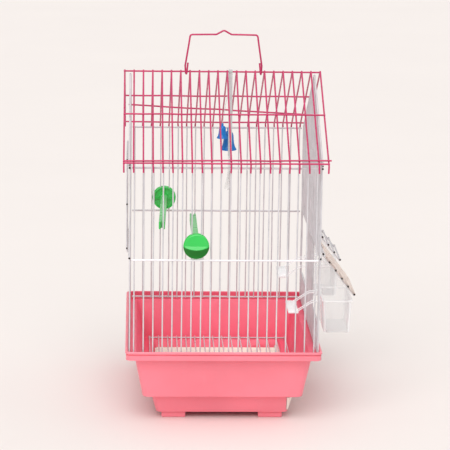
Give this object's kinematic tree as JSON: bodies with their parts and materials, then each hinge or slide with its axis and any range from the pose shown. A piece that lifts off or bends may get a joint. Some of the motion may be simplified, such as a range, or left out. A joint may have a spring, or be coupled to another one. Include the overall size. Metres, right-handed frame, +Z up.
{
  "type": "bird cage",
  "caption": "House-shaped wire bird cage with a gabled lift-off wire roof, moulded tub base, pull-out litter drawer, perches, side feeders, a sliding door and a hanging bell toy.",
  "frame": {"origin": "centre of the object's footprint, on the surface under the feet", "axes": "+Z up, -Y the front wall, +X the side with the two feeders"},
  "size_m": [0.2682, 0.2968, 0.4424],
  "materials": {
    "pink_plastic": "satin moulded pink",
    "cream_plastic": "satin moulded cream",
    "white_wire": "white coated wire",
    "rose_wire": "rose pink coated wire",
    "green_plastic": "glossy green",
    "blue_plastic": "glossy blue",
    "clear_plastic": "clear moulded"
  },
  "bodies": {
    "cage": {"base_tub": "pink_plastic", "floor_grid": "white_wire", "front_wall": "white_wire", "rear_wall": "white_wire", "left_gable_wall": "white_wire", "left_lower_panel": "white_wire", "left_front_panel": "white_wire", "left_rear_panel": "white_wire", "right_gable_wall": "white_wire", "right_sill_panel": "white_wire", "right_front_post": "white_wire", "right_centre_panel": "white_wire", "right_rear_post": "white_wire", "front_perch_rod": "green_plastic", "rear_perch_rod": "green_plastic"},
    "drawer": {"litter_drawer": "cream_plastic"},
    "door": {"side_door": "white_wire"},
    "roof": {"roof_front_slope": "rose_wire", "roof_rear_slope": "rose_wire"},
    "handle": {"carrying_handle": "rose_wire"},
    "toy": {"toy_strap": "clear_plastic", "toy_cords": "clear_plastic", "toy_bell_upper": "blue_plastic", "toy_bell_lower": "blue_plastic"},
    "front_flap": {"front_flap_grille": "white_wire", "front_flap_cover": "clear_plastic"},
    "rear_flap": {"rear_flap_grille": "white_wire", "rear_flap_cover": "clear_plastic"},
    "front_feeder": {"front_feeder_cup": "clear_plastic", "front_feeder_step": "clear_plastic"},
    "rear_feeder": {"rear_feeder_cup": "clear_plastic", "rear_feeder_step": "clear_plastic"},
    "front_knob": {"front_perch_knob": "green_plastic"},
    "rear_knob": {"rear_perch_knob": "green_plastic"}
  },
  "joints": [
    {"name": "drawer_slide", "type": "slide", "parent": "cage", "child": "drawer", "axis": [1, 0, 0], "range_m": [0, 0.14]},
    {"name": "door_slide", "type": "slide", "parent": "cage", "child": "door", "axis": [0, 0, 1], "range_m": [0, 0.085]},
    {"name": "roof_lift", "type": "slide", "parent": "cage", "child": "roof", "axis": [0, 0, 1], "range_m": [0, 0.08]},
    {"name": "handle_swing", "type": "hinge", "parent": "roof", "child": "handle", "pos_m": [-0.01713, 0, 0.393], "axis": [1, 0, 0], "range_deg": [-110, 110]},
    {"name": "toy_swing", "type": "hinge", "parent": "roof", "child": "toy", "pos_m": [-0.00783, 0, 0.393], "axis": [1, 0, 0], "range_deg": [-30, 30]},
    {"name": "front_flap_hinge", "type": "hinge", "parent": "cage", "child": "front_flap", "pos_m": [0.09567, -0.089, 0.201], "axis": [0, -1, 0], "range_deg": [0, 95]},
    {"name": "rear_flap_hinge", "type": "hinge", "parent": "cage", "child": "rear_flap", "pos_m": [0.09567, 0.089, 0.201], "axis": [0, -1, 0], "range_deg": [0, 95]},
    {"name": "front_feeder_slide", "type": "slide", "parent": "cage", "child": "front_feeder", "axis": [1, 0, 0], "range_m": [0, 0.045]},
    {"name": "rear_feeder_slide", "type": "slide", "parent": "cage", "child": "rear_feeder", "axis": [1, 0, 0], "range_m": [0, 0.045]},
    {"name": "front_knob_turn", "type": "hinge", "parent": "cage", "child": "front_knob", "pos_m": [-0.05013, -0.143, 0.2122], "axis": [0, -1, 0], "range_deg": [0, 90]},
    {"name": "rear_knob_turn", "type": "hinge", "parent": "cage", "child": "rear_knob", "pos_m": [-0.08313, 0.143, 0.2122], "axis": [0, 1, 0], "range_deg": [0, 90]}
  ]
}
